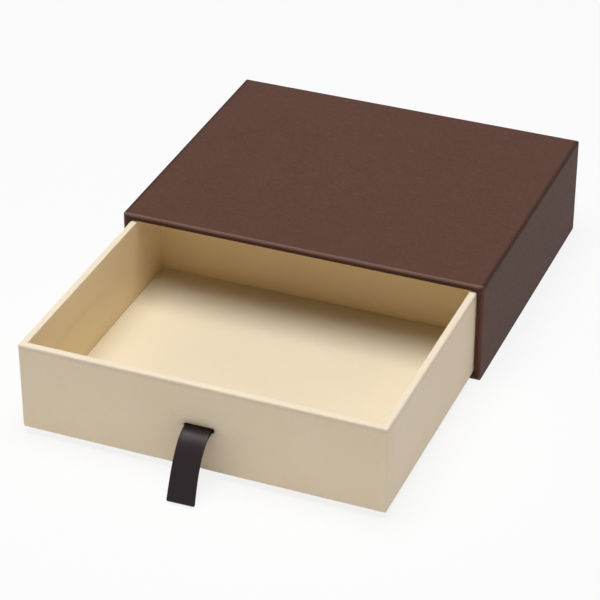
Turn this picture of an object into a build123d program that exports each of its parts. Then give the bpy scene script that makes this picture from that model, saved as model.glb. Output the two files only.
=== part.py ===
from build123d import *
import math
import os

# Sliding drawer gift box: a rigid greyboard sleeve, a tray that slides in it, and a ribbon pull.
# Millimetres, +Z up. The origin is the centre of the sleeve's underside.
# The mouth faces -Y, and the tray slides out towards -Y.

# ---- Driving dimensions -------------------------------------------------------------------
sleeve_width = 170.0
sleeve_depth = 141.0
sleeve_height = 48.0

paper = 0.2                 # every wrap, lining and tape
board = 2.5                 # greyboard
edge_radius = 0.8           # outer edges of a wrapped board
turn_in = 15.0              # how far a wrap is folded in over a rim or a mouth
underlap = 12.0             # how far the sleeve's wrap is folded under its base and over its back

side_gap = 0.4              # tray to sleeve, each side
floor_gap = 0.2             # tray's underside to the paper that it slides over
head_gap = 0.4              # tray's rim to the paper above it
back_gap = 0.5              # tray's back to the sleeve's back lining, when shut
pulled_out = 109.0          # how far the tray stands out of the mouth as modelled

tape_width = 14.0           # each leg of a corner tape
tape_inset = 3.0            # a corner tape stops this far short of the board's ends

ribbon_width = 12.0
ribbon_thickness = 0.4
layer_offset = 0.6          # middle of each ribbon layer, from the middle of the pair
slot_width = 13.6
slot_height = 2.4
slot_corner_radius = 0.9
slot_drop_share = 0.506     # slot's centre below the rim, as a share of the tray's height
exit_run = 1.5              # the ribbon's straight run out of the slot
bend_radius = 8.0           # where the ribbon turns down
fall_angle = 55.0           # the ribbon's fall below the horizontal, in degrees
ribbon_clearance = 0.5      # between the fold at the ribbon's end and the table
tail_length = 12.0          # both glued ends, down the inside of the front from the slot
patch_margin = 4.0          # the paper patch, past the glued ends on every side

# ---- Sizes worked out from them -----------------------------------------------------------
wall = paper + board + paper        # wrap, board and lining
mouth_wall = wall + paper           # the same, with the wrap that is folded in over it

sleeve_front = -sleeve_depth / 2
sleeve_back = sleeve_depth / 2

tray_width = sleeve_width - 2 * (mouth_wall + side_gap)
tray_depth = sleeve_depth - wall - back_gap
tray_bottom = mouth_wall + floor_gap
tray_top = sleeve_height - mouth_wall - head_gap
tray_front = sleeve_front - pulled_out
tray_back = tray_front + tray_depth

slot_z = tray_top - slot_drop_share * (tray_top - tray_bottom)
glue_face = tray_front + wall       # inside face of the front's lining

past = 1.0                          # how far a cutting block runs past what it cuts
bevel_reach = wall + past           # how far in a mitre plane is carried


# ---- Shapes used more than once -----------------------------------------------------------
def block(x0, x1, y0, y1, z0, z1):
    """A plain block between two corners."""
    return Pos((x0 + x1) / 2, (y0 + y1) / 2, (z0 + z1) / 2) * Box(x1 - x0, y1 - y0, z1 - z0)


def inset_block(limits, inset, radius=0.0):
    """A block whose six sides lie an inset inside the limits, with its edges rounded."""
    x0, x1, y0, y1, z0, z1 = limits
    body = block(x0 + inset, x1 - inset, y0 + inset, y1 - inset, z0 + inset, z1 - inset)
    return fillet(body.edges(), radius) if radius > 0 else body


def skin(limits, inset, radius):
    """One paper's thickness all round the limits, inside an inset."""
    return inset_block(limits, inset, radius) - inset_block(limits, inset + paper, radius - paper)


def slice_at(plane, points):
    """A long prism of the given outline, square to a plane."""
    outline = make_face(Polyline(*points, close=True))
    return extrude(plane * outline, amount=2 * sleeve_width, both=True)


def mitre(plane, a_span, b_span, side):
    """The wedge of a rectangle nearest one of its sides, with 45 degree ends.

    The spans are the rectangle's limits along the plane's two axes. A side is named by the
    axis it closes, a or b, and by the end of that axis, 0 or 1.
    """
    axis, end = side
    along, across = (b_span, a_span) if axis == "a" else (a_span, b_span)
    face = across[end]
    outward = 1 if end else -1
    outline = []
    for depth, run in ((-past, along), (bevel_reach, along)):
        level = face - outward * depth
        ends = [run[0] + depth, run[1] - depth]
        outline.append([(level, e) if axis == "a" else (e, level) for e in ends])
    (outer_low, outer_high), (inner_low, inner_high) = outline
    return slice_at(plane, [outer_low, outer_high, inner_high, inner_low])


sleeve_limits = (-sleeve_width / 2, sleeve_width / 2, sleeve_front, sleeve_back, 0.0, sleeve_height)
tray_limits = (-tray_width / 2, tray_width / 2, tray_front, tray_back, tray_bottom, tray_top)

sleeve_x = sleeve_limits[0:2]
sleeve_y = (sleeve_front - 2 * board, sleeve_back)      # the mouth has no mitre, so this end lies past it
sleeve_z = sleeve_limits[4:6]
tray_x = tray_limits[0:2]
tray_y = tray_limits[2:4]
tray_z = (tray_bottom, tray_top + 2 * board)            # nor has the rim


def sleeve_bore(inset, front, back):
    """The room inside the sleeve's four long walls, between two depths."""
    half = sleeve_width / 2 - inset
    return block(-half, half, front, back, inset, sleeve_height - inset)


def tray_well(inset, bottom, top):
    """The room inside the tray's four walls, between two heights."""
    half = tray_width / 2 - inset
    return block(-half, half, tray_front + inset, tray_back - inset, bottom, top)


def slot_cut():
    """The round-cornered slit through the tray's front."""
    half = slot_width / 2
    cut = block(-half, half, tray_front - past, glue_face + past,
                slot_z - slot_height / 2, slot_z + slot_height / 2)
    return fillet(cut.edges().filter_by(Axis.Y), slot_corner_radius)


# ---- Sleeve -------------------------------------------------------------------------------
def sleeve_edge_tapes():
    """Thin tapes that hold the sleeve's long board edges together, under the wrap."""
    strips = skin(sleeve_limits, paper, edge_radius - paper)
    half = sleeve_width / 2
    tapes = []
    for side in (-1, 1):
        x0, x1 = sorted((side * half, side * (half - tape_width)))
        for z0, z1 in ((0, tape_width), (sleeve_height - tape_width, sleeve_height)):
            zone = block(x0, x1, sleeve_front + tape_inset, sleeve_back - tape_inset, z0, z1)
            tapes.append((strips & zone).solid())
    return tapes


def sleeve_boards(tapes):
    """Five greyboard panels, mitred where they meet, with the mouth left open."""
    shell = inset_block(sleeve_limits, paper, edge_radius - paper)
    shell -= sleeve_bore(paper + board, sleeve_front - past, sleeve_back - paper - board)
    for tape in tapes:
        shell -= tape
    across = {
        "left": mitre(Plane.XZ, sleeve_x, sleeve_z, ("a", 0)) & mitre(Plane.XY, sleeve_x, sleeve_y, ("a", 0)),
        "right": mitre(Plane.XZ, sleeve_x, sleeve_z, ("a", 1)) & mitre(Plane.XY, sleeve_x, sleeve_y, ("a", 1)),
        "bottom": mitre(Plane.XZ, sleeve_x, sleeve_z, ("b", 0)) & mitre(Plane.YZ, sleeve_y, sleeve_z, ("b", 0)),
        "top": mitre(Plane.XZ, sleeve_x, sleeve_z, ("b", 1)) & mitre(Plane.YZ, sleeve_y, sleeve_z, ("b", 1)),
        "back": mitre(Plane.XY, sleeve_x, sleeve_y, ("b", 1)) & mitre(Plane.YZ, sleeve_y, sleeve_z, ("a", 1)),
    }
    return {f"sleeve_{name}_board": shell & wedge for name, wedge in across.items()}


def sleeve_base_sheet():
    """The flat paper that closes the underside, and that the box stands on."""
    half = sleeve_width / 2 - underlap
    return block(-half, half, sleeve_front + edge_radius, sleeve_back - edge_radius, 0, paper)


def sleeve_back_sheet():
    """The flat paper let in between the wrap's flaps on the back."""
    half = sleeve_width / 2 - underlap
    return block(-half, half, sleeve_back - paper, sleeve_back, underlap, sleeve_height - underlap)


def sleeve_wrap():
    """The outer wrap: round the tube, over the back's edges, and folded in at the mouth."""
    body = skin(sleeve_limits, 0, edge_radius)
    body -= sleeve_bore(mouth_wall, sleeve_front - past, sleeve_front + past)
    folded = sleeve_bore(wall, sleeve_front + paper, sleeve_front + turn_in)
    folded -= sleeve_bore(mouth_wall, sleeve_front, sleeve_front + turn_in + past)
    return body + folded - sleeve_base_sheet() - sleeve_back_sheet()


def sleeve_wall_lining():
    """The paper tube on the sleeve's inside, under the folded-in wrap at the mouth."""
    outer = sleeve_bore(paper + board, sleeve_front + paper, sleeve_back - paper - board)
    return outer - sleeve_bore(wall, sleeve_front, sleeve_back)


def sleeve_back_lining():
    """The paper on the inside of the back."""
    return sleeve_bore(wall, sleeve_back - wall, sleeve_back - paper - board)


# ---- Tray ---------------------------------------------------------------------------------
def tray_corner_tapes():
    """Thin tapes round the tray's upright corners, under the wrap."""
    strips = skin(tray_limits, paper, edge_radius - paper)
    half = tray_width / 2
    tapes = []
    for side in (-1, 1):
        x0, x1 = sorted((side * half, side * (half - tape_width)))
        for y0, y1 in ((tray_front, tray_front + tape_width), (tray_back - tape_width, tray_back)):
            zone = block(x0, x1, y0, y1, tray_bottom + tape_inset, tray_top - tape_inset)
            tapes.append((strips & zone).solid())
    return tapes


def tray_boards(tapes):
    """Five greyboard panels, mitred where they meet, with the slit cut in the front one."""
    shell = inset_block(tray_limits, paper, edge_radius - paper)
    shell -= tray_well(paper + board, tray_bottom + paper + board, tray_top + past)
    shell -= slot_cut()
    for tape in tapes:
        shell -= tape
    across = {
        "left": mitre(Plane.XY, tray_x, tray_y, ("a", 0)) & mitre(Plane.XZ, tray_x, tray_z, ("a", 0)),
        "right": mitre(Plane.XY, tray_x, tray_y, ("a", 1)) & mitre(Plane.XZ, tray_x, tray_z, ("a", 1)),
        "front": mitre(Plane.XY, tray_x, tray_y, ("b", 0)) & mitre(Plane.YZ, tray_y, tray_z, ("a", 0)),
        "back": mitre(Plane.XY, tray_x, tray_y, ("b", 1)) & mitre(Plane.YZ, tray_y, tray_z, ("a", 1)),
        "base": mitre(Plane.XZ, tray_x, tray_z, ("b", 0)) & mitre(Plane.YZ, tray_y, tray_z, ("b", 0)),
    }
    return {f"drawer_{name}_board": shell & wedge for name, wedge in across.items()}


def tray_wrap():
    """The cream wrap: under the base, up the four walls, and folded in over the rim."""
    body = skin(tray_limits, 0, edge_radius)
    body -= tray_well(mouth_wall, tray_top - past, tray_top + past)
    folded = tray_well(wall, tray_top - turn_in, tray_top - paper)
    folded -= tray_well(mouth_wall, tray_top - turn_in - past, tray_top)
    return body + folded - slot_cut()


def tray_wall_lining():
    """One strip of paper round the inside of the walls, under the folded-in wrap."""
    floor = tray_bottom + paper + board
    return tray_well(paper + board, floor, tray_top - paper) - tray_well(wall, floor - past, tray_top) - slot_cut()


def tray_floor_lining():
    """The sheet of paper on the floor, inside the walls' strip."""
    floor = tray_bottom + paper + board
    return tray_well(wall, floor, floor + paper)


# ---- Ribbon pull --------------------------------------------------------------------------
def strip_of(points_or_lines):
    """A ribbon-wide solid on a side profile of depth and height."""
    profile = make_face(points_or_lines)
    return extrude(Plane.YZ * profile, amount=ribbon_width / 2, both=True)


def loop_layer_points(offset):
    """Where a layer parallel to the loop's middle line turns, and where it ends."""
    angle = math.radians(fall_angle)
    turn_end_y = -(exit_run + (bend_radius + offset) * math.sin(angle))
    turn_end_z = -bend_radius + (bend_radius + offset) * math.cos(angle)
    drop = slot_z - ribbon_clearance - layer_offset - ribbon_thickness / 2
    middle_turn_z = bend_radius * (1 - math.cos(angle))
    fall = (drop - middle_turn_z) / math.sin(angle)
    half_angle = angle / 2
    start = (tray_front, slot_z + offset)
    turn_start = (tray_front - exit_run, slot_z + offset)
    turn_mid = (tray_front - exit_run - (bend_radius + offset) * math.sin(half_angle),
                slot_z - bend_radius + (bend_radius + offset) * math.cos(half_angle))
    turn_end = (tray_front + turn_end_y, slot_z + turn_end_z)
    end = (turn_end[0] - fall * math.cos(angle), turn_end[1] - fall * math.sin(angle))
    return start, turn_start, turn_mid, turn_end, end


def loop_outline(outer, inner):
    """Both layers' lines from the slot to the table, closed by a round fold at the end."""
    angle = math.radians(fall_angle)
    lines = []
    ends = []
    for offset in (outer, inner):
        start, turn_start, turn_mid, turn_end, end = loop_layer_points(offset)
        lines += [Line(start, turn_start), ThreePointArc(turn_start, turn_mid, turn_end), Line(turn_end, end)]
        ends.append(end)
    radius = (outer - inner) / 2
    centre_y = (ends[0][0] + ends[1][0]) / 2
    centre_z = (ends[0][1] + ends[1][1]) / 2
    tip = (centre_y - radius * math.cos(angle), centre_z - radius * math.sin(angle))
    lines.append(ThreePointArc(ends[0], tip, ends[1]))
    return lines


def ribbon_loop():
    """The doubled ribbon outside the slit, curving down until its fold meets the table."""
    half = ribbon_thickness / 2
    outer_lines = loop_outline(layer_offset + half, -layer_offset - half)
    inner_lines = loop_outline(layer_offset - half, -layer_offset + half)
    across = []
    for side in (1, -1):
        low, high = sorted((side * (layer_offset - half), side * (layer_offset + half)))
        across.append(Line((tray_front, slot_z + low), (tray_front, slot_z + high)))
    return strip_of(outer_lines + across + inner_lines)


def ribbon_tails():
    """The ribbon's two ends: through the slit and down the inside, one glued over the other."""
    half = ribbon_thickness / 2
    end_z = slot_z - tail_length
    tails = []
    for level, near in ((layer_offset, glue_face + ribbon_thickness), (-layer_offset, glue_face)):
        far = near + ribbon_thickness
        top = slot_z + level + half
        under = slot_z + level - half
        outline = Polyline((tray_front, top), (far, top), (far, end_z), (near, end_z),
                           (near, under), (tray_front, under), close=True)
        tails.append(strip_of(outline).solid())
    return tails


def ribbon_patch():
    """The paper patch pasted over the glued ends."""
    thickness = 2 * ribbon_thickness + paper
    half = ribbon_width / 2 + patch_margin
    top = slot_z + layer_offset + ribbon_thickness / 2 + patch_margin
    bottom = slot_z - tail_length - patch_margin
    under_half = ribbon_width / 2
    patch = block(-half, half, glue_face, glue_face + thickness, bottom, top)
    room = block(-under_half, under_half, glue_face - past, glue_face + 2 * ribbon_thickness,
                 slot_z - tail_length, slot_z + layer_offset + ribbon_thickness / 2)
    return patch - room


# ---- Writing ------------------------------------------------------------------------------
def all_parts():
    """Every sub-part, by the name it is kept under."""
    sleeve_tapes = sleeve_edge_tapes()
    tray_tapes = tray_corner_tapes()
    tails = ribbon_tails()
    parts = {}
    parts.update(sleeve_boards(sleeve_tapes))
    parts["sleeve_edge_tapes"] = Compound(children=sleeve_tapes)
    parts["sleeve_wrap"] = sleeve_wrap()
    parts["sleeve_base_sheet"] = sleeve_base_sheet()
    parts["sleeve_back_sheet"] = sleeve_back_sheet()
    parts["sleeve_wall_lining"] = sleeve_wall_lining()
    parts["sleeve_back_lining"] = sleeve_back_lining()
    parts.update(tray_boards(tray_tapes))
    parts["drawer_corner_tapes"] = Compound(children=tray_tapes)
    parts["drawer_wrap"] = tray_wrap()
    parts["drawer_wall_lining"] = tray_wall_lining()
    parts["drawer_floor_lining"] = tray_floor_lining()
    parts["ribbon_tails"] = Compound(children=tails)
    parts["ribbon_patch"] = ribbon_patch()
    parts["ribbon_loop"] = ribbon_loop()
    return parts


os.makedirs("parts", exist_ok=True)
for name, shape in all_parts().items():
    export_step(shape, f"parts/{name}.step")
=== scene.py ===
import math
import bmesh
import bpy
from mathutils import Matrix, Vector, noise


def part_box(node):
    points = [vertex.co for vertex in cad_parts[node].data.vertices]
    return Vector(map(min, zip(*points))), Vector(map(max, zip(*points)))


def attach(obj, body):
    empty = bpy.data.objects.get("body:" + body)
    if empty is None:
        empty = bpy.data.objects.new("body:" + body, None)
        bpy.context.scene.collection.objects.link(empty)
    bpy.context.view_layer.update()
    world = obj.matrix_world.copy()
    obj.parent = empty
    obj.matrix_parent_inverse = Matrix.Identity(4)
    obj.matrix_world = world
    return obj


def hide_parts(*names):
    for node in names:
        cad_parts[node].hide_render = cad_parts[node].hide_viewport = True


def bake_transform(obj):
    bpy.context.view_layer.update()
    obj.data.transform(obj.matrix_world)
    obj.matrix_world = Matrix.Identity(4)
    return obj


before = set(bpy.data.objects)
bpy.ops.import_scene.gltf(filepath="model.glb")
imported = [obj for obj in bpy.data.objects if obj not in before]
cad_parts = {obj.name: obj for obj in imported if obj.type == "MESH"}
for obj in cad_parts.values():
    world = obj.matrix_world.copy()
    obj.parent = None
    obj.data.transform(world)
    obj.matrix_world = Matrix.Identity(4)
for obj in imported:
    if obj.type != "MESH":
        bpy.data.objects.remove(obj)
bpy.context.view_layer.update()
scene = bpy.context.scene
mm = 0.001
print("frame loaded:", len(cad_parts), "nodes")


# links an input to another node's output, or gives it a plain value
def feed(tree, socket, value):
    if isinstance(value, bpy.types.NodeSocket):
        tree.links.new(value, socket)
    else:
        socket.default_value = value


def addNode(tree, kind, inputs=None, **settings):
    node = tree.nodes.new(kind)
    for key, value in settings.items():
        setattr(node, key, value)
    for key, value in (inputs or {}).items():
        feed(tree, node.inputs[key], value)
    return node


def startMaterial(name):
    material = bpy.data.materials.new(name)
    material.use_nodes = True
    material.node_tree.nodes.clear()
    return material, material.node_tree


def finishMaterial(tree, shader):
    addNode(tree, "ShaderNodeOutputMaterial", {"Surface": shader})


def noiseAt(tree, vector, size, detail, roughness=0.5, distortion=0.0):
    made = addNode(tree, "ShaderNodeTexNoise", {
        "Vector": vector, "Scale": 1.0 / size, "Detail": detail,
        "Roughness": roughness, "Distortion": distortion})
    return made.outputs["Fac"]


def stretched(tree, vector, amounts):
    return addNode(tree, "ShaderNodeMapping", {"Vector": vector, "Scale": amounts}).outputs["Vector"]


def remap(tree, value, low, high, toLow=0.0, toHigh=1.0, smooth=False):
    made = addNode(tree, "ShaderNodeMapRange", {
        "Value": value, "From Min": low, "From Max": high, "To Min": toLow, "To Max": toHigh},
        interpolation_type="SMOOTHSTEP" if smooth else "LINEAR")
    return made.outputs["Result"]


def mathOf(tree, operation, first, second):
    made = addNode(tree, "ShaderNodeMath", operation=operation)
    for socket, value in zip(made.inputs, (first, second)):
        feed(tree, socket, value)
    return made.outputs["Value"]


def mixColour(tree, share, first, second):
    made = addNode(tree, "ShaderNodeMix", data_type="RGBA")
    factor, colourA, colourB = made.inputs[0], made.inputs[6], made.inputs[7]
    for socket, value in ((factor, share), (colourA, first), (colourB, second)):
        feed(tree, socket, (*value, 1.0) if isinstance(value, tuple) else value)
    return made.outputs[2]


def mixShaders(tree, share, first, second):
    mix = addNode(tree, "ShaderNodeMixShader", {"Fac": share})
    tree.links.new(first.outputs[0], mix.inputs[1])
    tree.links.new(second.outputs[0], mix.inputs[2])
    return mix.outputs[0]


def vertexTone(tree, name):
    return addNode(tree, "ShaderNodeAttribute", attribute_name=name).outputs["Fac"]


# where each noise of a paper begins and ends to show, on its own scale of 0 to 1
paperRanges = {
    "cloud": (0.3, 0.7), "grain": (0.25, 0.75), "speck": (0.62, 0.80),
    "fibreAcross": (0.60, 0.72), "fibreAlong": (0.62, 0.74), "polish": (0.2, 0.8), "paintedTone": (0.2, 0.7),
}
fibreLay = {"across": (0.18, 1.0, 1.0), "along": (1.0, 0.22, 1.0), "alongSize": 0.9, "curl": 0.6}


# a pressed wood-pulp paper: cloudy tone, fine grain, a few fibres lying in it
def paperMaterial(look):
    ranges, lay = paperRanges, fibreLay
    material, tree = startMaterial(look["name"])
    place = addNode(tree, "ShaderNodeTexCoord").outputs["Object"]
    cloud = noiseAt(tree, place, look["cloudSize"], 4.0, 0.55)
    grain = noiseAt(tree, place, look["grainSize"], 3.0, 0.65)
    speck = noiseAt(tree, place, look["speckSize"], 2.0)
    across, along = stretched(tree, place, lay["across"]), stretched(tree, place, lay["along"])
    across = noiseAt(tree, across, look["fibreSize"], 2.0, 0.5, lay["curl"])
    along = noiseAt(tree, along, look["fibreSize"] * lay["alongSize"], 2.0, 0.5, lay["curl"])
    fibre = mathOf(tree, "MAXIMUM", remap(tree, across, *ranges["fibreAcross"]),
                   remap(tree, along, *ranges["fibreAlong"]))

    cloudShare = remap(tree, cloud, *ranges["cloud"], smooth=True)
    grainShare = remap(tree, grain, *ranges["grain"], 0.0, look["grainTone"])
    speckShare = remap(tree, speck, *ranges["speck"], 0.0, look["speckTone"])
    fibreShare = mathOf(tree, "MULTIPLY", fibre, look["fibreTone"])
    colour = mixColour(tree, cloudShare, look["dark"], look["light"])
    colour = mixColour(tree, grainShare, colour, look["grainColour"])
    colour = mixColour(tree, speckShare, colour, look["speckColour"])
    colour = mixColour(tree, fibreShare, colour, look["fibreColour"])
    # painted light and shade: each vertex tone pulls the paper towards a painted highlight, painted shade
    # or painted bounced-light colour, broken up by the grain
    for attribute, toneColour, strength in look["edges"]:
        patchy = remap(tree, grain, *ranges["paintedTone"], look["leastPaintedTone"], 1.0)
        paintedShare = mathOf(tree, "MULTIPLY", vertexTone(tree, attribute), patchy)
        colour = mixColour(tree, mathOf(tree, "MULTIPLY", paintedShare, strength), colour, toneColour)

    roughness = remap(tree, grain, *ranges["polish"], look["roughLow"], look["roughHigh"])
    relief = mathOf(tree, "ADD", grain, mathOf(tree, "MULTIPLY", fibre, look["fibreRelief"]))
    relief = mathOf(tree, "ADD", relief, mathOf(tree, "MULTIPLY", cloud, look["cloudRelief"]))
    bump = addNode(tree, "ShaderNodeBump", {
        "Strength": look["bumpStrength"], "Distance": look["bumpDepth"], "Height": relief})
    shader = addNode(tree, "ShaderNodeBsdfPrincipled", {
        "Base Color": colour, "Roughness": roughness, "Specular IOR Level": look["specular"],
        "Normal": bump.outputs["Normal"]})
    finishMaterial(tree, shader.outputs["BSDF"])
    return material


# edges: the vertex tone that carries painted light or shade on a fold, cut or face, the colour it is
# painted to, and how far
brownPaper = {
    "name": "brownWrapPaper",
    "dark": (0.094, 0.0415, 0.0280), "light": (0.098, 0.0440, 0.0300),
    "grainColour": (0.066, 0.0270, 0.0175), "grainTone": 0.35,
    "speckColour": (0.190, 0.105, 0.080), "speckTone": 0.45,
    "fibreColour": (0.170, 0.090, 0.068), "fibreTone": 0.25,
    "cloudSize": 0.022, "grainSize": 0.0009, "speckSize": 0.0010, "fibreSize": 0.0007,
    "roughLow": 0.50, "roughHigh": 0.66, "specular": 0.10,
    "bumpStrength": 0.35, "bumpDepth": 0.00018, "cloudRelief": 0.2, "fibreRelief": 0.35,
    "leastPaintedTone": 0.65,
    # painted shade along the long folds and on the mouth's end faces, a painted highlight on the mouth's
    # fold
    "edges": [("longFold", (0.030, 0.012, 0.009), 0.92), ("mouthEnd", (0.036, 0.015, 0.012), 0.55),
              ("mouthFold", (0.240, 0.150, 0.130), 0.80)],
}
darkLiningPaper = {
    "name": "darkLiningPaper",
    "dark": (0.060, 0.032, 0.022), "light": (0.072, 0.038, 0.026),
    "grainColour": (0.040, 0.020, 0.015), "grainTone": 0.25,
    "speckColour": (0.110, 0.070, 0.055), "speckTone": 0.20,
    "fibreColour": (0.100, 0.060, 0.048), "fibreTone": 0.15,
    "cloudSize": 0.03, "grainSize": 0.0007, "speckSize": 0.001, "fibreSize": 0.0012,
    "roughLow": 0.60, "roughHigh": 0.75, "specular": 0.35,
    "bumpStrength": 0.25, "bumpDepth": 0.00012, "cloudRelief": 0.4, "fibreRelief": 0.35,
    "edges": [],
}
creamPaper = {
    "name": "creamWrapPaper",
    "dark": (0.930, 0.768, 0.556), "light": (0.945, 0.788, 0.580),
    "grainColour": (0.815, 0.680, 0.475), "grainTone": 0.25,
    "speckColour": (0.940, 0.840, 0.680), "speckTone": 0.30,
    "fibreColour": (0.800, 0.640, 0.430), "fibreTone": 0.16,
    "cloudSize": 0.03, "grainSize": 0.0008, "speckSize": 0.0010, "fibreSize": 0.0009,
    "roughLow": 0.50, "roughHigh": 0.64, "specular": 0.45,
    "bumpStrength": 0.22, "bumpDepth": 0.00012, "cloudRelief": 0.3, "fibreRelief": 0.35,
    "leastPaintedTone": 0.65,
    # painted highlight on the rim, painted shade just under it, painted warm bounced light on the turned-in
    # paper, painted shade round the slot
    "edges": [("rimFold", (0.960, 0.870, 0.730), 0.45), ("underRim", (0.740, 0.620, 0.430), 0.55),
              ("innerFace", (0.960, 0.765, 0.465), 0.80), ("slotShade", (0.640, 0.540, 0.300), 0.85)],
}
floorLiningPaper = dict(
    creamPaper, name="floorLiningPaper", dark=(0.880, 0.770, 0.568), light=(0.900, 0.792, 0.592),
    cloudSize=0.045, fibreTone=0.10, bumpStrength=0.18, specular=0.20, edges=[])
# the floor's paper made warmer for the walls: painted warm bounced light, as in the tray's shade
wallLiningPaper = dict(
    floorLiningPaper, name="wallLiningPaper", dark=(0.940, 0.765, 0.482), light=(0.952, 0.785, 0.508),
    grainColour=(0.890, 0.690, 0.410), speckColour=(0.960, 0.815, 0.590),
    fibreColour=(0.860, 0.660, 0.385))
greyboardLook = {
    "name": "greyboard",
    "dark": (0.330, 0.300, 0.255), "light": (0.440, 0.405, 0.350),
    "grainColour": (0.230, 0.205, 0.170), "grainTone": 0.40,
    "speckColour": (0.600, 0.570, 0.520), "speckTone": 0.45,
    "fibreColour": (0.180, 0.150, 0.120), "fibreTone": 0.35,
    "cloudSize": 0.012, "grainSize": 0.0005, "speckSize": 0.0008, "fibreSize": 0.0011,
    "roughLow": 0.80, "roughHigh": 0.95, "specular": 0.2,
    "bumpStrength": 0.5, "bumpDepth": 0.0002, "cloudRelief": 0.3, "fibreRelief": 0.35,
    "edges": [],
}
kraftLook = dict(
    greyboardLook, name="kraftTape", dark=(0.480, 0.330, 0.190), light=(0.560, 0.400, 0.240),
    grainColour=(0.380, 0.250, 0.140), speckColour=(0.640, 0.480, 0.310),
    fibreColour=(0.330, 0.210, 0.120), roughLow=0.45, roughHigh=0.60, specular=0.4)


# satin: long warp threads that lie side by side down the strip, tied by fine weft lines
def satinMaterial(look):
    material, tree = startMaterial(look["name"])
    lie = addNode(tree, "ShaderNodeUVMap", uv_map="ribbonLay").outputs["UV"]
    threads = stretched(tree, lie, (1.0 / look["warpPitch"], 1.0 / look["floatLength"], 1.0))
    warp = addNode(tree, "ShaderNodeTexNoise", {"Vector": threads, "Scale": 1.0, "Detail": 2.0})
    wefts = stretched(tree, lie, (0.0, 1.0 / look["weftPitch"] / math.pi, 1.0))
    weftLine = addNode(tree, "ShaderNodeTexWave", {
        "Vector": wefts, "Scale": 1.0, "Distortion": 0.6, "Detail": 1.0, "Detail Scale": 2.0},
        bands_direction="Y")
    tone = remap(tree, warp.outputs["Fac"], *look["threadRange"])
    edge = mathOf(tree, "MULTIPLY", vertexTone(tree, "selvedge"), look["edgeTone"])
    colour = mixColour(tree, tone, look["dark"], look["light"])
    colour = mixColour(tree, edge, colour, look["edgeColour"])
    weft = mathOf(tree, "MULTIPLY", weftLine.outputs["Fac"], look["weftRelief"])
    relief = mathOf(tree, "ADD", warp.outputs["Fac"], weft)
    bump = addNode(tree, "ShaderNodeBump", {
        "Strength": look["bumpStrength"], "Distance": look["bumpDepth"], "Height": relief})
    roughness = remap(tree, warp.outputs["Fac"], *look["threadRange"], look["roughLow"], look["roughHigh"])
    shader = addNode(tree, "ShaderNodeBsdfPrincipled", {
        "Base Color": colour, "Roughness": roughness, "Specular IOR Level": look["specular"],
        "Normal": bump.outputs["Normal"]})
    finishMaterial(tree, shader.outputs["BSDF"])
    return material


satinLook = {
    "name": "darkSatin",
    "dark": (0.009, 0.003, 0.005), "light": (0.015, 0.006, 0.009),
    "edgeColour": (0.006, 0.003, 0.004), "edgeTone": 0.6,
    "warpPitch": 0.00028, "floatLength": 0.0016, "weftPitch": 0.00035,
    "threadRange": (0.3, 0.7), "weftRelief": 0.5,
    "roughLow": 0.28, "roughHigh": 0.36, "specular": 0.26,
    "bumpStrength": 0.25, "bumpDepth": 0.00006,
}

brownWrap = paperMaterial(brownPaper)
darkLining = paperMaterial(darkLiningPaper)
creamWrap = paperMaterial(creamPaper)
floorLining = paperMaterial(floorLiningPaper)
wallLining = paperMaterial(wallLiningPaper)
greyboard = paperMaterial(greyboardLook)
kraftTape = paperMaterial(kraftLook)
darkSatin = satinMaterial(satinLook)
print("materials made")

# every node takes its finish here, also those that a folded piece stands for
nodeFinish = {
    greyboard: ["sleeve_top_board", "sleeve_bottom_board", "sleeve_left_board", "sleeve_right_board",
                "sleeve_back_board", "drawer_base_board", "drawer_front_board", "drawer_back_board",
                "drawer_left_board", "drawer_right_board"],
    kraftTape: ["sleeve_edge_tapes", "drawer_corner_tapes"],
    brownWrap: ["sleeve_base_sheet", "sleeve_back_sheet", "sleeve_wrap"],
    darkLining: ["sleeve_wall_lining", "sleeve_back_lining"],
    creamWrap: ["drawer_wrap"],
    wallLining: ["drawer_wall_lining", "ribbon_patch"],
    floorLining: ["drawer_floor_lining"],
    darkSatin: ["ribbon_tails", "ribbon_loop"],
}
for finish, names in nodeFinish.items():
    for name in names:
        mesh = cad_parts[name].data
        mesh.materials.clear()
        mesh.materials.append(finish)


foldSteps = 6                       # steps in a folded edge's quarter turn
leastStep = 0.02 * mm               # points on a side stay this far apart where the corner crowds them
leastRadius = 0.5 * mm              # a folded paper's corner never turns tighter than this


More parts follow.
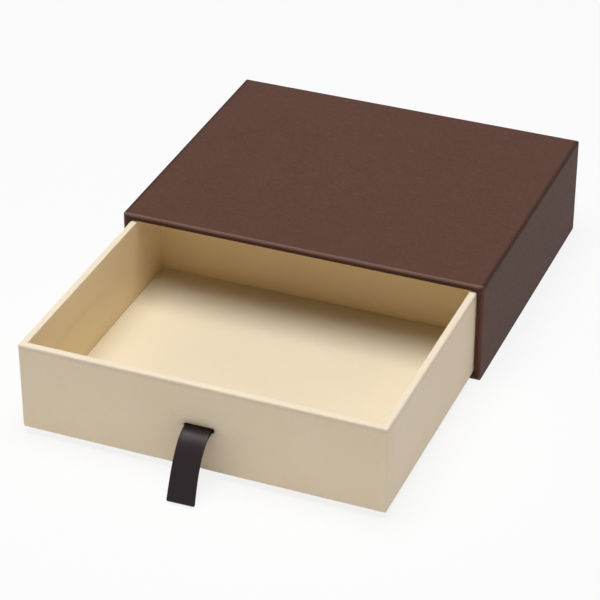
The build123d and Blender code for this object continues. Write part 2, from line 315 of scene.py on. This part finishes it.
# one ring of a paper that runs round a rectangle: four straight sides joined by small round corners
def ringAround(halfA, halfB, inset, radius, fold):
    reachA = halfA - inset
    reachB = halfB - inset
    travel = [(1, 0), (0, 1), (-1, 0), (0, -1)]
    corner = [(1, -1), (1, 1), (-1, 1), (-1, -1)]
    ring = []
    for side in range(4):
        alongA = side % 2 == 0
        limit = (reachA if alongA else reachB) - radius - fold["support"]
        stations = fold["stationsA"] if alongA else fold["stationsB"]
        forward = travel[side][0] + travel[side][1]
        count = len(stations)
        for rank, station in enumerate(stations):
            room = limit - leastStep * (1 + min(rank, count - 1 - rank))
            where = forward * max(-room, min(room, station))
            place = (where, -reachB * forward) if alongA else (reachA * forward, where)
            ring.append((*place, {"side": side, "turn": None}))
        centreA = corner[side][0] * (reachA - radius)
        centreB = corner[side][1] * (reachB - radius)
        start = math.radians(90 * side - 90)
        after = travel[(side + 1) % 4]
        firstA = centreA + radius * math.cos(start) - travel[side][0] * fold["support"]
        firstB = centreB + radius * math.sin(start) - travel[side][1] * fold["support"]
        ring.append((firstA, firstB, {"side": side, "turn": None}))
        for step in range(fold["arcSteps"] + 1):
            angle = start + math.radians(90) * step / fold["arcSteps"]
            ring.append((centreA + radius * math.cos(angle), centreB + radius * math.sin(angle),
                         {"side": side, "turn": step / fold["arcSteps"]}))
        end = start + math.radians(90)
        lastA = centreA + radius * math.cos(end) + after[0] * fold["support"]
        lastB = centreB + radius * math.sin(end) + after[1] * fold["support"]
        ring.append((lastA, lastB, {"side": (side + 1) % 4, "turn": None}))
    return ring


# a quarter turn of a paper's section, between two angles in degrees
def quarterTurn(centre, radius, start, end, steps, tag):
    turn = []
    for step in range(steps + 1):
        angle = math.radians(start + (end - start) * step / steps)
        turn.append((centre[0] + radius * math.cos(angle), centre[1] + radius * math.sin(angle), tag))
    return turn


# sweeps a paper's section round its rings and makes the mesh; tones are its vertex values
def sweepPaper(name, section, fold, place, shift, material, closed, tones=()):
    made = bmesh.new()
    layers = {tone: made.verts.layers.float.new(tone) for tone in tones}
    rows = []
    for inset, level, tag in section:
        radius = fold["cornerRadius"](inset)
        row = []
        for a, b, spot in ringAround(fold["halfA"], fold["halfB"], inset, radius, fold):
            info = dict(spot, a=a, b=b, level=level, inset=inset, tag=tag)
            vertex = made.verts.new(place(a, b, level) + shift(info))
            for tone, layer in layers.items():
                vertex[layer] = fold["tone"](tone, info)
            row.append(vertex)
        rows.append(row)
    count = len(rows[0])
    holes = fold.get("holes", [])   # the slot's cell in the outer face, then in the inner face
    last = len(rows) if closed else len(rows) - 1
    for r in range(last):
        first, second = rows[r], rows[(r + 1) % len(rows)]
        for c in range(count):
            d = (c + 1) % count
            if any(r == hole["row"] and c == hole["column"] for hole in holes):
                continue
            made.faces.new((first[c], first[d], second[d], second[c]))
    if not closed:
        made.faces.new(rows[0])
        made.faces.new(list(reversed(rows[-1])))
    if holes:
        cutSlot(made, rows, holes, fold["slotRings"], place, fold["halfB"], layers.get("slotShade"))
    bmesh.ops.recalc_face_normals(made, faces=made.faces)
    return meshObject(name, made, material)


# the slot's round-cornered hole, let into one cell of the outer face and one of the inner face
def cutSlot(made, rows, holes, rings, place, halfB, slotShadeLayer):
    column = holes[0]["column"]
    r, s = holes[0]["row"], holes[1]["row"]
    outer = [rows[r][column], rows[r][column + 1], rows[r + 1][column + 1], rows[r + 1][column]]
    inner = [rows[s + 1][column], rows[s + 1][column + 1], rows[s][column + 1], rows[s][column]]
    loops = []
    steps = slotShape["arcSteps"]
    for grow, inset, paintedTone in rings:
        halfWidth, halfHeight = slotShape["halfWidth"] + grow, slotShape["halfHeight"] + grow
        radius = slotShape["cornerRadius"] + grow
        loop = []
        for q, (sideA, sideB) in enumerate([(-1, -1), (1, -1), (1, 1), (-1, 1)]):
            arc = []
            for step in range(steps + 1):
                angle = math.radians(180 + 90 * q + 90 * step / steps)
                a = sideA * (halfWidth - radius) + radius * math.cos(angle)
                z = sideB * (halfHeight - radius) + radius * math.sin(angle)
                vertex = made.verts.new(place(a, inset - halfB, slotShape["z"] - drawerLow.z + z))
                # painted shade round the slot, stronger above it
                if slotShadeLayer:
                    vertex[slotShadeLayer] = paintedTone * (1.0 if sideB > 0 else slotShape["lowerShade"])
                arc.append(vertex)
            loop.append(arc)
        loops.append(loop)
    for corners, loop in ((outer, loops[0]), (inner, loops[-1])):
        for q in range(4):
            for first, second in zip(loop[q], loop[q][1:]):
                made.faces.new((corners[q], first, second))
            n = (q + 1) % 4
            made.faces.new((corners[q], corners[n], loop[n][0], loop[q][-1]))
    for near, far in zip(loops, loops[1:]):
        nearRing, farRing = sum(near, []), sum(far, [])
        for k in range(len(nearRing)):
            n = (k + 1) % len(nearRing)
            made.faces.new((nearRing[k], nearRing[n], farRing[n], farRing[k]))


def meshObject(name, made, material, smoothAngle=32):
    mesh = bpy.data.meshes.new(name)
    made.to_mesh(mesh)
    made.free()
    mesh.shade_smooth()
    mesh.set_sharp_from_angle(angle=math.radians(smoothAngle))
    piece = bpy.data.objects.new(name, mesh)
    scene.collection.objects.link(piece)
    piece.data.materials.append(material)
    return piece


def smoothStep(low, high, value):
    share = max(0.0, min(1.0, (value - low) / (high - low)))
    return share * share * (3 - 2 * share)


# small uneven wander of a knife-cut paper edge
def cutWander(point, look):
    return noise.noise(Vector(point) / look["wanderLength"]) * look["cutWander"]


sleeveLow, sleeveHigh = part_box("sleeve_wrap")
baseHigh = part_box("sleeve_base_sheet")[1]
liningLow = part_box("sleeve_wall_lining")[0]

sleevePaper = {
    "paper": 0.2 * mm, "edge": 0.8 * mm, "mouthEdge": 0.35 * mm, "turnIn": 15.0 * mm, "lipSteps": 4,
    "underlap": sleeveHigh.x - baseHigh.x,      # the base sheet leaves this much of the wrap bare
    "recess": 0.19 * mm,            # the wrap is pressed in this far where the base sheet covers it
    "step": 0.04 * mm, "seamDepth": 0.11 * mm,
    "cutWander": 0.25 * mm, "wanderLength": 9 * mm,
    "support": 0.8 * mm,            # the flats' first points beside a fold, along the box
    "foldFade": 1.4 * mm,           # the same round the box, where the long folds' painted shade ends
    "uprightFold": 0.4,             # the painted highlight on the mouth's upright folds is this share of the one on the level folds
    "sideStation": 6 * mm,          # points half way up the sides
}


def makeSleeveWrap(look):
    front, back = sleeveLow.y, sleeveHigh.y
    width = sleeveHigh.x - sleeveLow.x
    height = sleeveHigh.z - sleeveLow.z
    middleZ = (sleeveLow.z + sleeveHigh.z) / 2
    paper, edge, lip = look["paper"], look["edge"], look["mouthEdge"]
    wall = liningLow.x - sleeveLow.x + paper        # wrap and board and lining
    folded = wall + paper
    near = look["support"]
    underlap = look["underlap"]

    section = [(folded, front + look["turnIn"], "cut"), (folded, front + look["turnIn"] - near, "")]
    section += [(folded, front + lip + near, "")]
    section += quarterTurn((folded - lip, front + lip), lip, 0, -90, look["lipSteps"], "lip")
    section += [(folded - lip - near, front, "face"), (edge + near, front, "face")]
    section += quarterTurn((edge, front + edge), edge, -90, -180, foldSteps, "mouth")
    section += [(0, front + edge + look["step"], "run"), (0, front + edge + near, "run")]
    section += [(0, back - edge - near, "run"), (0, back - edge - look["step"], "run")]
    section += quarterTurn((edge, back - edge), edge, 180, 90, foldSteps, "backEdge")
    section += [(edge + near, back, "flap"), (underlap - near, back, "flap"), (underlap, back, "flapEnd")]
    section += [(underlap, back - paper, "inside")]
    section += quarterTurn((edge, back - edge), edge - paper, 90, 180, foldSteps, "inside")
    section += quarterTurn((edge, front + edge), edge - paper, 180, 270, foldSteps, "inside")
    section += [(wall, front + paper, "inside"), (wall, front + look["turnIn"], "cut")]

    def shift(info):
        y, z = 0.0, 0.0
        tag, turn = info["tag"], info["turn"]
        if tag == "run" and info["side"] == 0 and turn is None:
            if abs(info["a"]) < width / 2 - underlap:
                z += look["recess"]
        if tag in ("face", "lip") and turn == 0.5:
            y += look["seamDepth"]
        if tag == "flap" and turn == 0.5:
            y -= look["seamDepth"]
        if tag == "cut":
            y += cutWander((info["a"], info["b"], 0.3), look)
        return Vector((0.0, y, z))

    def tone(name, info):
        # painted shade along the long folds and round the back's edges
        if name == "longFold":
            onCorner = info["turn"] is not None and info["tag"] in ("run", "mouth", "backEdge")
            onBack = info["tag"] == "backEdge" and 0 < info["inset"] < edge
            return 1.0 if onCorner or onBack else 0.0
        upright = info["side"] in (1, 3)
        # painted shade on the end faces of the mouth's top and bottom
        if name == "mouthEnd":
            return 1.0 if info["tag"] in ("face", "lip") and not upright else 0.0
        # painted highlight on the mouth's fold, weaker on the upright sides
        return (look["uprightFold"] if upright else 1.0) if info["tag"] == "mouth" else 0.0

    inner = width / 2 - underlap
    fold = {
        "halfA": width / 2, "halfB": height / 2, "arcSteps": foldSteps, "support": look["foldFade"],
        "stationsA": [-inner - leastStep, -inner + leastStep, -inner / 2, 0.0, inner / 2,
                      inner - leastStep, inner + leastStep],
        "stationsB": [-look["sideStation"], look["sideStation"]],
        "cornerRadius": lambda inset: max(edge - inset, leastRadius),
        "tone": tone,
    }
    wrap = sweepPaper(
        "sleeveWrapPaper", section, fold, lambda a, b, level: Vector((a, level, middleZ + b)),
        shift, brownWrap, True, ("longFold", "mouthEnd", "mouthFold"))
    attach(wrap, "sleeve")
    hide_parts("sleeve_wrap")
    return wrap


makeSleeveWrap(sleevePaper)
print("sleeve wrap folded")

drawerLow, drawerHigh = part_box("drawer_wrap")
wallLow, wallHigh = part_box("drawer_wall_lining")
floorLow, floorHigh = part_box("drawer_floor_lining")
tailLow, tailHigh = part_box("ribbon_tails")
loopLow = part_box("ribbon_loop")[0]
patchLow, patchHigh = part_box("ribbon_patch")
drawerMiddle = (drawerLow + drawerHigh) / 2

slotShape = {
    "halfWidth": 6.8 * mm, "halfHeight": 1.2 * mm, "z": tailHigh.z - 0.8 * mm,
    "cornerRadius": 0.9 * mm, "arcSteps": 5,
    "surround": 4.2 * mm,           # how far round the slot the paper is pressed in and carries painted shade
    "lip": 0.17 * mm,               # how deep it is pressed at the slot's edge
    "lowerShade": 0.4,               # the painted shade below the slot is this share of the shade above it
    "rings": (0.86, 0.6, 0.4, 0.22, 0.1, 0.04, 0.0),      # shares of the surround
}
drawerPaper = {
    "paper": 0.2 * mm, "edge": 0.8 * mm, "rimEdge": 0.4 * mm, "turnIn": 15.0 * mm, "rimSteps": 5,
    "lapReach": 14.0 * mm, "lapHeight": 0.10 * mm,      # the front's paper laps round onto the sides
    "lapRise": (0.5 * mm, 3 * mm),  # the lap rises over this distance from the corner
    "seamDepth": 0.09 * mm, "cutWander": 0.25 * mm, "wanderLength": 9 * mm,
    "support": 0.45 * mm,           # the flats' first points beside a fold
    "underRim": 3.2 * mm,           # the shade below the rim ends here
    "baseReach": 3 * mm,            # how far the wrap goes under the base
    "frontStation": 40 * mm, "sideStation": 20 * mm, "cornerStation": 4.2 * mm, "lapStep": 0.1 * mm,
}


# where the rings have points across the front: the slot's own cell, and half way to the corners
def frontStations():
    slot = slotShape["halfWidth"] + slotShape["surround"]
    far = drawerPaper["frontStation"]
    return [-far, -slot, slot, far]


slotColumn = 1                      # the slot's cell starts at the second of those points
slotLevels = [slotShape["z"] - drawerLow.z + side * (slotShape["halfHeight"] + slotShape["surround"])
              for side in (-1, 1)]


# rings round the slot, from the surround's rim in to the paper's cut: (out from the slot, depth, painted
# shade)
def slotRings(paper):
    rings = []
    for share in slotShape["rings"]:
        near = (1 - share) ** 3
        rings.append((share * slotShape["surround"], near * slotShape["lip"], near))
    return rings + [(0.0, paper, 1.0)]


def drawerPlace(a, b, level):
    return Vector((drawerMiddle.x + a, drawerMiddle.y + b, drawerLow.z + level))


def makeDrawerWrap(look):
    width = drawerHigh.x - drawerLow.x
    depth = drawerHigh.y - drawerLow.y
    height = drawerHigh.z - drawerLow.z
    paper, edge, rim = look["paper"], look["edge"], look["rimEdge"]
    wall = wallLow.x - drawerLow.x + paper
    folded = wall + paper
    near = look["support"]
    low, high = slotLevels

    section = [(look["baseReach"], 0, "base"), (edge + near, 0, "base")]
    section += quarterTurn((edge, edge), edge, -90, -180, foldSteps, "foot")
    section += [(0, edge + near, "wall")]
    outerRow = len(section)
    section += [(0, low, "wall"), (0, high, "wall"), (0, height - look["underRim"], "wall")]
    section += [(0, height - edge - near, "underRim")]
    section += quarterTurn((edge, height - edge), edge, 180, 90, foldSteps, "rimOut")
    section += [(edge + near, height, "rim"), (folded - rim - near, height, "rim")]
    section += quarterTurn((folded - rim, height - rim), rim, 90, 0, look["rimSteps"], "rimIn")
    # the turned-in paper, which carries painted warm bounced light
    section += [(folded, height - rim - near, "turned"), (folded, height - look["turnIn"] + near, "turned")]
    section += [(folded, height - look["turnIn"], "cut"), (wall, height - look["turnIn"], "cut")]
    section += [(wall, height - paper, "inside")]
    section += quarterTurn((edge, height - edge), edge - paper, 90, 180, foldSteps, "inside")
    innerRow = len(section)
    section += [(paper, high, "inside"), (paper, low, "inside")]
    section += quarterTurn((edge, edge), edge - paper, 180, 270, foldSteps, "inside")
    section += [(look["baseReach"], paper, "inside")]

    def shift(info):
        moved = Vector((0.0, 0.0, 0.0))
        tag, turn, side = info["tag"], info["turn"], info["side"]
        if tag in ("rim", "rimIn") and turn == 0.5:
            moved.z -= look["seamDepth"]
        if tag in ("wall", "underRim") and side in (1, 3) and turn is None:
            fromCorner = depth / 2 - abs(info["b"])
            raised = smoothStep(*look["lapRise"], fromCorner)
            if fromCorner < look["lapReach"]:
                moved.x += (1 if side == 1 else -1) * look["lapHeight"] * raised
        if tag == "cut":
            moved.z += cutWander((info["a"], info["b"], 1.7), look)
        return moved

    # painted tones: a highlight on the rim, shade just under it, warm bounced light on the turned-in paper
    toneTags = {"innerFace": ("turned", "cut"), "underRim": ("underRim",),
                "rimFold": ("rimOut", "rim", "rimIn")}

    def tone(name, info):
        return 1.0 if info["tag"] in toneTags.get(name, ()) else 0.0

    lap, step = depth / 2 - look["lapReach"], look["lapStep"]
    corner, side = depth / 2 - look["cornerStation"], look["sideStation"]
    fold = {
        "halfA": width / 2, "halfB": depth / 2, "arcSteps": foldSteps, "support": near,
        "stationsA": frontStations(),
        "stationsB": [-corner, -lap - step, -lap + step, -side, side, lap - step, lap + step, corner],
        "cornerRadius": lambda inset: max(edge - inset, leastRadius),
        "tone": tone,
        "holes": [{"row": outerRow, "column": slotColumn}, {"row": innerRow, "column": slotColumn}],
        "slotRings": slotRings(paper),
    }
    wrap = sweepPaper("drawerWrapPaper", section, fold, drawerPlace, shift, creamWrap, False,
                      ("rimFold", "underRim", "innerFace", "slotShade"))
    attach(wrap, "drawer")
    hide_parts("drawer_wrap")
    return wrap


wallSheet = {"support": 0.45 * mm, "cornerRadius": 0.6 * mm, "sideStation": 30 * mm}


# the lining round the tray's walls, with the slot cut through it
def makeWallLining(look):
    width = drawerHigh.x - drawerLow.x
    depth = drawerHigh.y - drawerLow.y
    outer = wallLow.x - drawerLow.x
    inner = outer + drawerPaper["paper"]
    bottom = wallLow.z - drawerLow.z
    top = wallHigh.z - drawerLow.z
    low, high = slotLevels
    section = [(outer, bottom, ""), (outer, low, ""), (outer, high, ""), (outer, top, ""),
               (inner, top, ""), (inner, high, ""), (inner, low, ""), (inner, bottom, "")]
    fold = {
        "halfA": width / 2, "halfB": depth / 2, "arcSteps": foldSteps, "support": look["support"],
        "stationsA": frontStations(), "stationsB": [-look["sideStation"], look["sideStation"]],
        "cornerRadius": lambda inset: look["cornerRadius"],
        "holes": [{"row": 1, "column": slotColumn}, {"row": 5, "column": slotColumn}],
        "slotRings": [(0.0, outer, 0.0), (0.0, inner, 0.0)],
    }
    lining = sweepPaper("drawerWallLiningPaper", section, fold, drawerPlace,
                        lambda info: Vector((0, 0, 0)), wallLining, True)
    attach(lining, "drawer")
    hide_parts("drawer_wall_lining")
    return lining


floorSheet = {
    "gap": 0.14 * mm, "cornerRadius": 0.7 * mm, "cornerSteps": 4, "curl": 0.06 * mm,
    "bevel": 0.05 * mm, "rings": (8 * mm, 2.5 * mm, 0.6 * mm),      # in from the sheet's edge
    "support": 0.4 * mm, "frontStation": 40 * mm, "sideStation": 30 * mm,
}


# the floor's sheet, cut a little small, with its edges lifted a hair by the glue
def makeFloorLining(look):
    halfA = (floorHigh.x - floorLow.x) / 2 - look["gap"]
    halfB = (floorHigh.y - floorLow.y) / 2 - look["gap"]
    middle = (floorLow + floorHigh) / 2
    thickness = floorHigh.z - floorLow.z
    bevel = look["bevel"]
    section = [(ring, thickness, "top") for ring in look["rings"]]
    section += [(bevel, thickness, "rise"), (0, thickness - bevel, "rise")]
    section += [(0, 0, "under"), (look["rings"][0], 0, "under")]

    def shift(info):
        return Vector((0, 0, look["curl"] if info["tag"] == "rise" else 0.0))

    fold = {
        "halfA": halfA, "halfB": halfB,
        "arcSteps": look["cornerSteps"], "support": look["support"],
        "stationsA": [-look["frontStation"], look["frontStation"]],
        "stationsB": [-look["sideStation"], look["sideStation"]],
        "cornerRadius": lambda inset: look["cornerRadius"],
    }
    sheet = sweepPaper("drawerFloorLiningPaper", section, fold,
                       lambda a, b, level: Vector((middle.x + a, middle.y + b, floorLow.z + level)),
                       shift, floorLining, False)
    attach(sheet, "drawer")
    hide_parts("drawer_floor_lining")
    return sheet


makeDrawerWrap(drawerPaper)
makeWallLining(wallSheet)
makeFloorLining(floorSheet)
print("drawer papers folded")

ribbonCut = {
    "width": 12.0 * mm, "thickness": 0.34 * mm, "layerOffset": 0.6 * mm,
    "tailThickness": 0.4 * mm,      # the room that each glued end takes behind the patch
    "exitRun": 0.6 * mm, "ease": 6.0 * mm, "tailBend": 0.6 * mm,
    "belly": 0.75 * mm,             # how far each layer swells out half way down
    "endRadius": 0.75 * mm,         # the soft fold at the end of the loop
    "crown": 0.10 * mm,             # the strip's arch across its width
    "selvedge": 0.04 * mm, "selvedgeWidth": 0.7 * mm, "edgeThin": 0.55,
    "drift": 0.8 * mm, "underDrift": -0.9 * mm, "twist": 1.0,
    "step": 0.35 * mm, "across": 16, "arcSteps": 7,
    "slopes": (40, 88), "halvings": 30,     # the steepest slope, in degrees, is found between these
    "bendReach": 20.0 * mm,         # how far out the strip bends when it is lifted
}


# the ribbon's middle line outside the slot, seen from the side: level at first, then ever steeper
def fallLine(cut, steepest, drop):
    line = [(0.0, 0.0, 0.0)]
    y, z, run = 0.0, 0.0, 0.0
    while z > -drop:
        run += cut["step"]
        slope = steepest * (1 - math.exp(-max(0.0, run - cut["exitRun"]) / cut["ease"]))
        y -= cut["step"] * math.cos(slope)
        z -= cut["step"] * math.sin(slope)
        line.append((y, z, slope))
    return line


# the slope that brings the ribbon's end down where the plain loop's end lies
def settleRibbon(cut, reach, drop):
    low, high = (math.radians(slope) for slope in cut["slopes"])
    for halving in range(cut["halvings"]):
        middle = (low + high) / 2
        if -fallLine(cut, middle, drop)[-1][0] > reach:
            low = middle
        else:
            high = middle
    return fallLine(cut, high, drop)


# the whole strip's middle line: up one tail, out and round the fold, back in and down the other
# each point is (depth, height, share of the way to the fold, upper 1 or lower -1)
def ribbonPath(cut):
    face, slotZ = drawerLow.y, slotShape["z"]
    offset = cut["layerOffset"]
    reach = cut["endRadius"] + cut["thickness"] / 2 + cut["crown"]
    line = settleRibbon(cut, face - loopLow.y - reach, slotZ - loopLow.z - reach)
    glue = wallLow.y + drawerPaper["paper"]
    path = []

    def straight(start, end, layer):
        count = max(1, round(math.dist(start, end) / cut["step"]))
        for k in range(count):
            t = k / count
            spot = (start[0] + (end[0] - start[0]) * t, start[1] + (end[1] - start[1]) * t)
            path.append((*spot, 0.0, layer))

    def arc(centre, radius, first, last, share, layer):
        steps = cut["arcSteps"]
        for k in range(steps):
            turn = math.radians(first + (last - first) * k / steps)
            mix = layer if layer else 1 - 2 * k / steps
            spot = (centre[0] + radius * math.cos(turn), centre[1] + radius * math.sin(turn))
            path.append((*spot, share, mix))

    def layerPoint(k, side):
        y, z, slope = line[k]
        t = k / (len(line) - 1)
        apart = offset + cut["belly"] * math.sin(math.pi * t) + (cut["endRadius"] - offset) * t
        outY, outZ = side * apart * math.sin(slope), side * apart * math.cos(slope)
        return (face + y - outY, slotZ + z + outZ, t, side)

    bend, tail = cut["tailBend"], cut["tailThickness"]
    for layer, inset in ((1, 1.5 * tail), (-1, 0.5 * tail)):
        level = slotZ + layer * offset
        corner = (glue + inset - bend, level - bend)
        if layer == 1:
            straight((glue + inset, tailLow.z), (glue + inset, corner[1]), 1)
            arc(corner, bend, 0, 90, 0.0, 1)
            straight((corner[0], level), (face, level), 1)
            path.extend(layerPoint(k, 1) for k in range(len(line) - 1))
            tipY, tipZ, slope = line[-1]
            facing = 90 + math.degrees(slope)
            arc((face + tipY, slotZ + tipZ), cut["endRadius"], facing, facing + 180, 1.0, 0)
            path.extend(layerPoint(k, -1) for k in range(len(line) - 1, 0, -1))
        else:
            straight((face, level), (corner[0], level), -1)
            arc(corner, bend, 90, 0, 0.0, -1)
            straight((glue + inset, corner[1]), (glue + inset, tailLow.z), -1)
            path.append((glue + inset, tailLow.z, 0.0, -1))
    return path


# one ring round the strip: each point's place, and how far it belongs to the woven edge
def ribbonRing(cut, y, z, share, layer, normal):
    under = (1 - layer) / 2
    # the layer behind swings a little further to one side, most of it half way down
    swing = math.sin(math.pi * min(1.0, share)) if share < 1 else 0.0
    drift = cut["drift"] * share ** 1.5 + cut["underDrift"] * under * swing
    tilt = math.radians(cut["twist"]) * share
    across = cut["across"]
    ring = []
    for face in (1, -1):
        order = range(across + 1) if face == 1 else range(across, -1, -1)
        for k in order:
            u = -1 + 2 * k / across
            atEdge = k in (0, across)
            rolled = 1 - smoothStep(0, cut["selvedgeWidth"], (1 - abs(u)) * cut["width"] / 2)
            half = cut["thickness"] / 2 * (cut["edgeThin"] if atEdge else 1.0)
            half += 0 if atEdge else cut["selvedge"] * rolled
            crown = cut["crown"] * (1 - u * u) * (1 if share > 0 else 0)
            x = u * cut["width"] / 2
            lift = x * math.sin(tilt)
            spot = Vector((x * math.cos(tilt) + drift, y, z))
            ring.append((spot + normal * (face * half + crown * layer + lift), rolled))
    return ring


def makeRibbon(cut):
    path = ribbonPath(cut)
    made = bmesh.new()
    lay = made.loops.layers.uv.new("ribbonLay")
    edgeTone = made.verts.layers.float.new("selvedge")
    loops, lengths = [], []
    length = 0.0
    for i, (y, z, share, layer) in enumerate(path):
        before = path[max(i - 1, 0)]
        behind = path[min(i + 1, len(path) - 1)]
        along = Vector((0, behind[0] - before[0], behind[1] - before[1])).normalized()
        normal = Vector((0, -along.z, along.y))
        if i:
            length += math.dist((y, z), path[i - 1][:2])
        lengths.append(length)
        ring = []
        for spot, rolled in ribbonRing(cut, y, z, share, layer, normal):
            vertex = made.verts.new(spot)
            vertex[edgeTone] = rolled
            ring.append(vertex)
        loops.append(ring)
    ringSize = len(loops[0])
    across = cut["across"]
    position = [min(k, 2 * across + 1 - k) / across * cut["width"] for k in range(ringSize)]
    for i in range(len(loops) - 1):
        for k in range(ringSize):
            n = (k + 1) % ringSize
            face = made.faces.new((loops[i][k], loops[i][n], loops[i + 1][n], loops[i + 1][k]))
            spots = [(position[k], lengths[i]), (position[n], lengths[i]),
                     (position[n], lengths[i + 1]), (position[k], lengths[i + 1])]
            for loop, spot in zip(face.loops, spots):
                loop[lay].uv = spot
    made.faces.new(loops[0])
    made.faces.new(list(reversed(loops[-1])))
    bmesh.ops.recalc_face_normals(made, faces=made.faces)
    ribbon = meshObject("ribbonPullStrip", made, darkSatin, 50)
    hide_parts("ribbon_loop", "ribbon_tails")
    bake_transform(ribbon)
    print("ribbon cut to", round(lengths[-1] / mm, 1), "mm")
    return ribbon


# slope is how far the patch takes to come down beside the ribbon, hold how far it stays level first
patchShape = {"steps": 44, "slope": 1.3 * mm, "hold": 0.25 * mm}


# the paper patch over the ribbon's glued ends, which show through it as a soft step
def makePatch(look):
    made = bmesh.new()
    paper = drawerPaper["paper"]
    thick = patchHigh.y - patchLow.y
    steps = look["steps"]
    halfRibbon = ribbonCut["width"] / 2
    grids = []
    for level in (0, 1):
        grid = []
        for i in range(steps + 1):
            row = []
            for k in range(steps + 1):
                x = patchLow.x + (patchHigh.x - patchLow.x) * i / steps
                z = patchLow.z + (patchHigh.z - patchLow.z) * k / steps
                outX = abs(x) - halfRibbon - look["hold"]
                outZ = max(tailLow.z - look["hold"] - z, z - tailHigh.z - look["hold"])
                out = math.hypot(max(outX, 0), max(outZ, 0))
                proud = 1 - smoothStep(0, look["slope"], out)
                y = patchLow.y + (level * (paper + (thick - paper) * proud))
                row.append(made.verts.new((x, y, z)))
            grid.append(row)
        grids.append(grid)
    for grid in grids:
        for i in range(steps):
            for k in range(steps):
                made.faces.new((grid[i][k], grid[i + 1][k], grid[i + 1][k + 1], grid[i][k + 1]))
    under, over = grids
    for k in range(steps):
        for i in (0, steps):
            made.faces.new((under[i][k], under[i][k + 1], over[i][k + 1], over[i][k]))
            made.faces.new((under[k][i], under[k + 1][i], over[k + 1][i], over[k][i]))
    bmesh.ops.recalc_face_normals(made, faces=made.faces)
    patch = meshObject("ribbonPatchPaper", made, wallLining)
    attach(patch, "drawer")
    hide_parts("ribbon_patch")
    return patch


makeRibbon(ribbonCut)
makePatch(patchShape)

studio = {
    "floorSize": 8.0, "floorDrop": 0.02 * mm, "floorWhite": 0.92,
    "floorGlow": 0.84,              # how much of the floor that the camera sees is plain white
    "wallLight": 1.15, "roomLight": 0.05,
    "wallFull": 0.08, "wallTop": 0.20,      # the rise where the pale walls start and end to fade
    "keySize": 0.9, "keyPower": 15.0, "keyFrom": (-0.03, -0.15, 1.25), "keyAim": (0.0, -0.06, 0.02),
}


# 1 where the camera looks, also by way of something shiny or clear
def seenInPicture(tree):
    path = addNode(tree, "ShaderNodeLightPath").outputs
    seen = mathOf(tree, "MAXIMUM", path["Is Camera Ray"], path["Is Glossy Ray"])
    return mathOf(tree, "MAXIMUM", seen, path["Is Transmission Ray"])


def floorMaterial(look):
    material, tree = startMaterial("paleFloor")
    white = look["floorWhite"]
    lit = addNode(tree, "ShaderNodeBsdfDiffuse", {"Color": (white, white, white, 1)})
    glow = addNode(tree, "ShaderNodeEmission", {"Color": (1, 1, 1, 1), "Strength": 1.0})
    share = mathOf(tree, "MULTIPLY", seenInPicture(tree), look["floorGlow"])
    finishMaterial(tree, mixShaders(tree, share, lit, glow))
    return material


def makeFloor(look):
    made = bmesh.new()
    half = look["floorSize"] / 2
    corners = ((-half, -half), (half, -half), (half, half), (-half, half))
    made.faces.new([made.verts.new((x, y, 0)) for x, y in corners])
    floor = meshObject("paleFloor", made, floorMaterial(look))
    floor.location.z = -look["floorDrop"]
    return floor


def makeWorld(look):
    world = bpy.data.worlds.new("softStudio")
    scene.world = world
    world.use_nodes = True
    tree = world.node_tree
    tree.nodes.clear()
    # pale walls low down all round the table, and a dim room above them
    way = addNode(tree, "ShaderNodeTexCoord").outputs["Generated"]
    rise = addNode(tree, "ShaderNodeSeparateXYZ", {"Vector": way}).outputs["Z"]
    strength = remap(tree, rise, look["wallFull"], look["wallTop"],
                     look["wallLight"], look["roomLight"], smooth=True)
    dim = addNode(tree, "ShaderNodeBackground", {"Color": (1, 1, 1, 1), "Strength": strength})
    white = addNode(tree, "ShaderNodeBackground", {"Color": (1, 1, 1, 1), "Strength": 1.0})
    mix = mixShaders(tree, seenInPicture(tree), dim, white)
    addNode(tree, "ShaderNodeOutputWorld", {"Surface": mix})


def makeLamp(name, place, size, power, aim):
    lamp = bpy.data.lights.new(name, "AREA")
    lamp.shape = "SQUARE"
    lamp.size = size
    lamp.energy = power
    holder = bpy.data.objects.new(name, lamp)
    scene.collection.objects.link(holder)
    holder.location = place
    holder.rotation_euler = (Vector(aim) - Vector(place)).to_track_quat("-Z", "Y").to_euler()
    return holder


# the photograph's lens and height; the direction lies between the drawer's own and the sleeve's
view = {
    "azimuth": 22.0, "elevation": 32.2, "distance": 1.113, "aim": (-0.0045, -0.0585, 0.0137),
    "focalPixels": 2484.0, "pictureWidth": 600.0, "sensor": 36.0, "clip": (0.05, 50),
}


def makeCamera(look):
    data = bpy.data.cameras.new("studioCamera")
    camera = bpy.data.objects.new("studioCamera", data)
    scene.collection.objects.link(camera)
    around = math.radians(look["azimuth"])
    up = math.radians(look["elevation"])
    back = Vector((math.sin(around) * math.cos(up), -math.cos(around) * math.cos(up), math.sin(up)))
    camera.location = Vector(look["aim"]) + back * look["distance"]
    camera.rotation_euler = (-back).to_track_quat("-Z", "Y").to_euler()
    data.sensor_width = look["sensor"]
    data.lens = look["focalPixels"] / look["pictureWidth"] * look["sensor"]
    data.clip_start, data.clip_end = look["clip"]
    data.dof.use_dof = False
    scene.camera = camera


makeFloor(studio)
makeWorld(studio)
makeLamp("keyLamp", studio["keyFrom"], studio["keySize"], studio["keyPower"], studio["keyAim"])
makeCamera(view)
scene.view_settings.view_transform = "Standard"
print("studio lit")
